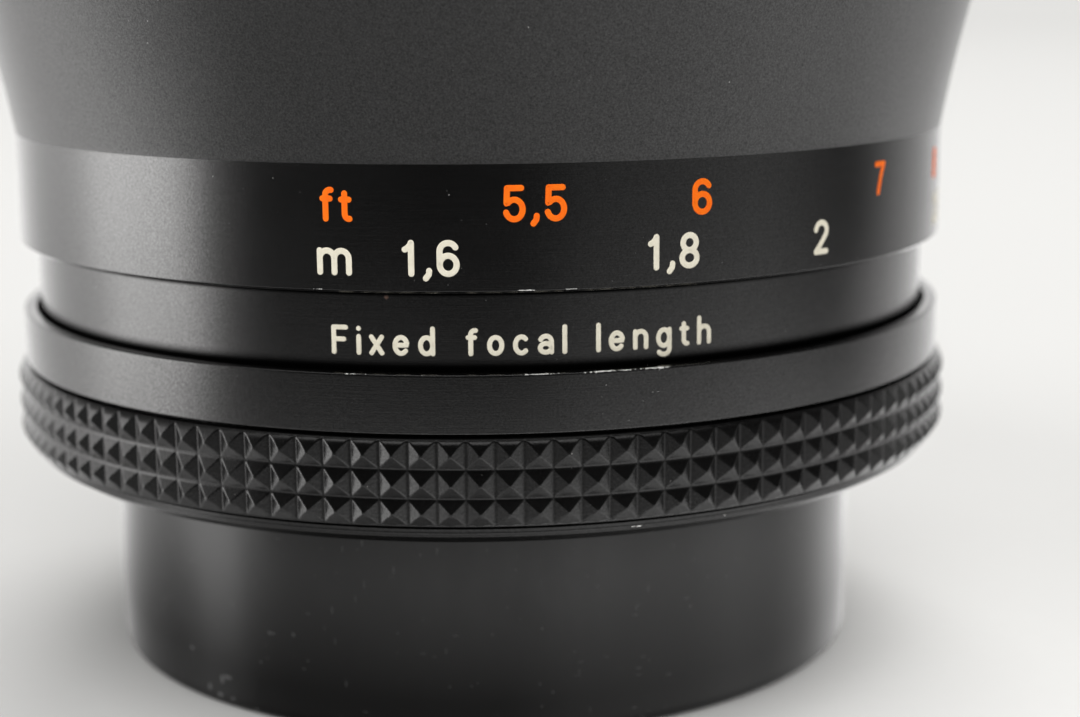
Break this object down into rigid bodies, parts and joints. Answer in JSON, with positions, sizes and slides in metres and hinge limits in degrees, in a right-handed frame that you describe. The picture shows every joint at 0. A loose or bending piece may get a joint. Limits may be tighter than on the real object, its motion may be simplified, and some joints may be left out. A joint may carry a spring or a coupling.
{
  "type": "prime camera lens",
  "caption": "Manual-focus short telephoto lens: aperture ring, distance-scale focus ring on a helicoid, iris, sliding hood and a rear cap it stands on.",
  "frame": {"origin": "centre of the rear cap's flat base", "axes": "+Z along the optical axis, towards the subject; +Y is the index line's side, -Y the side with the near end of the distance scale"},
  "size_m": [0.0698, 0.0698, 0.0908],
  "materials": {
    "anodised": "satin black anodised, fine turned grain",
    "matt_black": "matt black anodised",
    "grip_rubber": "moulded pyramids, satin black",
    "cap_plastic": "satin black, lightly scratched",
    "chrome": "satin chrome",
    "brass": "turned brass",
    "steel": "plain steel",
    "blade_steel": "blackened spring steel",
    "glass": "single-coated",
    "felt": "black felt",
    "mark_orange": "engraved and filled with orange paint",
    "mark_cream": "engraved and filled with cream paint"
  },
  "bodies": {
    "barrel_fixed": {"fixed_barrel": "anodised", "bayonet_mount": "chrome", "mount_screw_1": "steel", "mount_screw_2": "steel", "mount_screw_3": "steel", "rear_baffle": "matt_black", "stop_down_spring": "steel", "index_ring": "anodised", "index_ring_screw_1": "steel", "index_ring_screw_2": "steel", "index_ring_screw_3": "steel", "focus_retaining_ring": "brass", "guide_key": "brass", "guide_key_screw_1": "steel", "guide_key_screw_2": "steel", "focus_stop_screw": "steel", "detent_spring": "steel"},
    "rear_cap": {"rear_cap": "cap_plastic"},
    "stop_down_lever": {"stop_down_lever": "steel"},
    "aperture_ring": {"aperture_ring": "anodised", "aperture_grip": "grip_rubber", "aperture_link_pin": "steel", "aperture_link_ring": "brass"},
    "detent_ball": {"detent_ball": "steel"},
    "focus_ring": {"focus_ring": "anodised", "focus_grip": "grip_rubber", "helicoid_ring": "brass", "focus_ring_screw_1": "steel", "focus_ring_screw_2": "steel", "focus_ring_screw_3": "steel"},
    "focusing_barrel": {"focusing_barrel": "anodised", "front_barrel": "anodised", "hood_felt_band": "felt", "front_cell": "matt_black", "front_bezel": "matt_black", "front_element": "glass", "second_element": "glass", "third_element": "glass", "fourth_element": "glass", "rear_element": "glass", "front_retaining_ring": "matt_black", "spacer_ring": "matt_black", "third_element_retainer": "matt_black", "rear_cell": "matt_black", "fourth_element_retainer": "matt_black", "rear_retaining_ring": "matt_black", "iris_pivot_plate": "matt_black", "iris_retaining_ring": "brass"},
    "lens_hood": {"lens_hood": "anodised"},
    "iris_cam_ring": {"iris_cam_ring": "brass"},
    "iris_blade_1": {"iris_blade_1": "blade_steel"},
    "iris_blade_2": {"iris_blade_2": "blade_steel"},
    "iris_blade_3": {"iris_blade_3": "blade_steel"},
    "iris_blade_4": {"iris_blade_4": "blade_steel"},
    "iris_blade_5": {"iris_blade_5": "blade_steel"},
    "iris_blade_6": {"iris_blade_6": "blade_steel"}
  },
  "joints": [
    {"name": "rear_cap_pull", "type": "slide", "parent": "barrel_fixed", "child": "rear_cap", "axis": [0, 0, -1], "range_m": [0, 0.025]},
    {"name": "stop_down_lever_turn", "type": "hinge", "parent": "barrel_fixed", "child": "stop_down_lever", "pos_m": [0, 0, 0.0143], "axis": [0, 0, 1], "range_deg": [-12, 0], "stiffness_Nm_per_rad": 0.002},
    {"name": "aperture_turn", "type": "hinge", "parent": "barrel_fixed", "child": "aperture_ring", "pos_m": [0, 0, 0.018], "axis": [0, 0, 1], "range_deg": [0, 48]},
    {"name": "detent_ball_drop", "type": "slide", "parent": "barrel_fixed", "child": "detent_ball", "axis": [0, 0, -1], "range_m": [0, 0.0003], "deforming": ["detent_spring"]},
    {"name": "focus_turn", "type": "hinge", "parent": "barrel_fixed", "child": "focus_ring", "pos_m": [0, 0, 0.045], "axis": [0, 0, 1], "range_deg": [0, 190]},
    {"name": "focusing_barrel_slide", "type": "slide", "parent": "barrel_fixed", "child": "focusing_barrel", "axis": [0, 0, 1], "range_m": [0, 0.0139]},
    {"name": "lens_hood_slide", "type": "slide", "parent": "focusing_barrel", "child": "lens_hood", "axis": [0, 0, 1], "range_m": [0, 0.021]},
    {"name": "iris_cam_turn", "type": "hinge", "parent": "focusing_barrel", "child": "iris_cam_ring", "pos_m": [0, 0, 0.045], "axis": [0, 0, 1], "range_deg": [0, 48]},
    {"name": "iris_blade_1_turn", "type": "hinge", "parent": "focusing_barrel", "child": "iris_blade_1", "pos_m": [0.0196, 0, 0.0463], "axis": [0, 0, 1], "range_deg": [0, 32.1]},
    {"name": "iris_blade_2_turn", "type": "hinge", "parent": "focusing_barrel", "child": "iris_blade_2", "pos_m": [0.0098, 0.01697, 0.0463], "axis": [0, 0, 1], "range_deg": [0, 32.1]},
    {"name": "iris_blade_3_turn", "type": "hinge", "parent": "focusing_barrel", "child": "iris_blade_3", "pos_m": [-0.0098, 0.01697, 0.0463], "axis": [0, 0, 1], "range_deg": [0, 32.1]},
    {"name": "iris_blade_4_turn", "type": "hinge", "parent": "focusing_barrel", "child": "iris_blade_4", "pos_m": [-0.0196, 0, 0.0463], "axis": [0, 0, 1], "range_deg": [0, 32.1]},
    {"name": "iris_blade_5_turn", "type": "hinge", "parent": "focusing_barrel", "child": "iris_blade_5", "pos_m": [-0.0098, -0.01697, 0.0463], "axis": [0, 0, 1], "range_deg": [0, 32.1]},
    {"name": "iris_blade_6_turn", "type": "hinge", "parent": "focusing_barrel", "child": "iris_blade_6", "pos_m": [0.0098, -0.01697, 0.0463], "axis": [0, 0, 1], "range_deg": [0, 32.1]}
  ],
  "couplings": [
    {"joint": "focusing_barrel_slide", "follows": "focus_turn", "m_per_rad": 0.00418},
    {"joint": "iris_cam_turn", "follows": "aperture_turn", "ratio": 1},
    {"joint": "iris_blade_1_turn", "follows": "aperture_turn", "ratio": 0.66667},
    {"joint": "iris_blade_2_turn", "follows": "aperture_turn", "ratio": 0.66667},
    {"joint": "iris_blade_3_turn", "follows": "aperture_turn", "ratio": 0.66667},
    {"joint": "iris_blade_4_turn", "follows": "aperture_turn", "ratio": 0.66667},
    {"joint": "iris_blade_5_turn", "follows": "aperture_turn", "ratio": 0.66667},
    {"joint": "iris_blade_6_turn", "follows": "aperture_turn", "ratio": 0.66667}
  ]
}
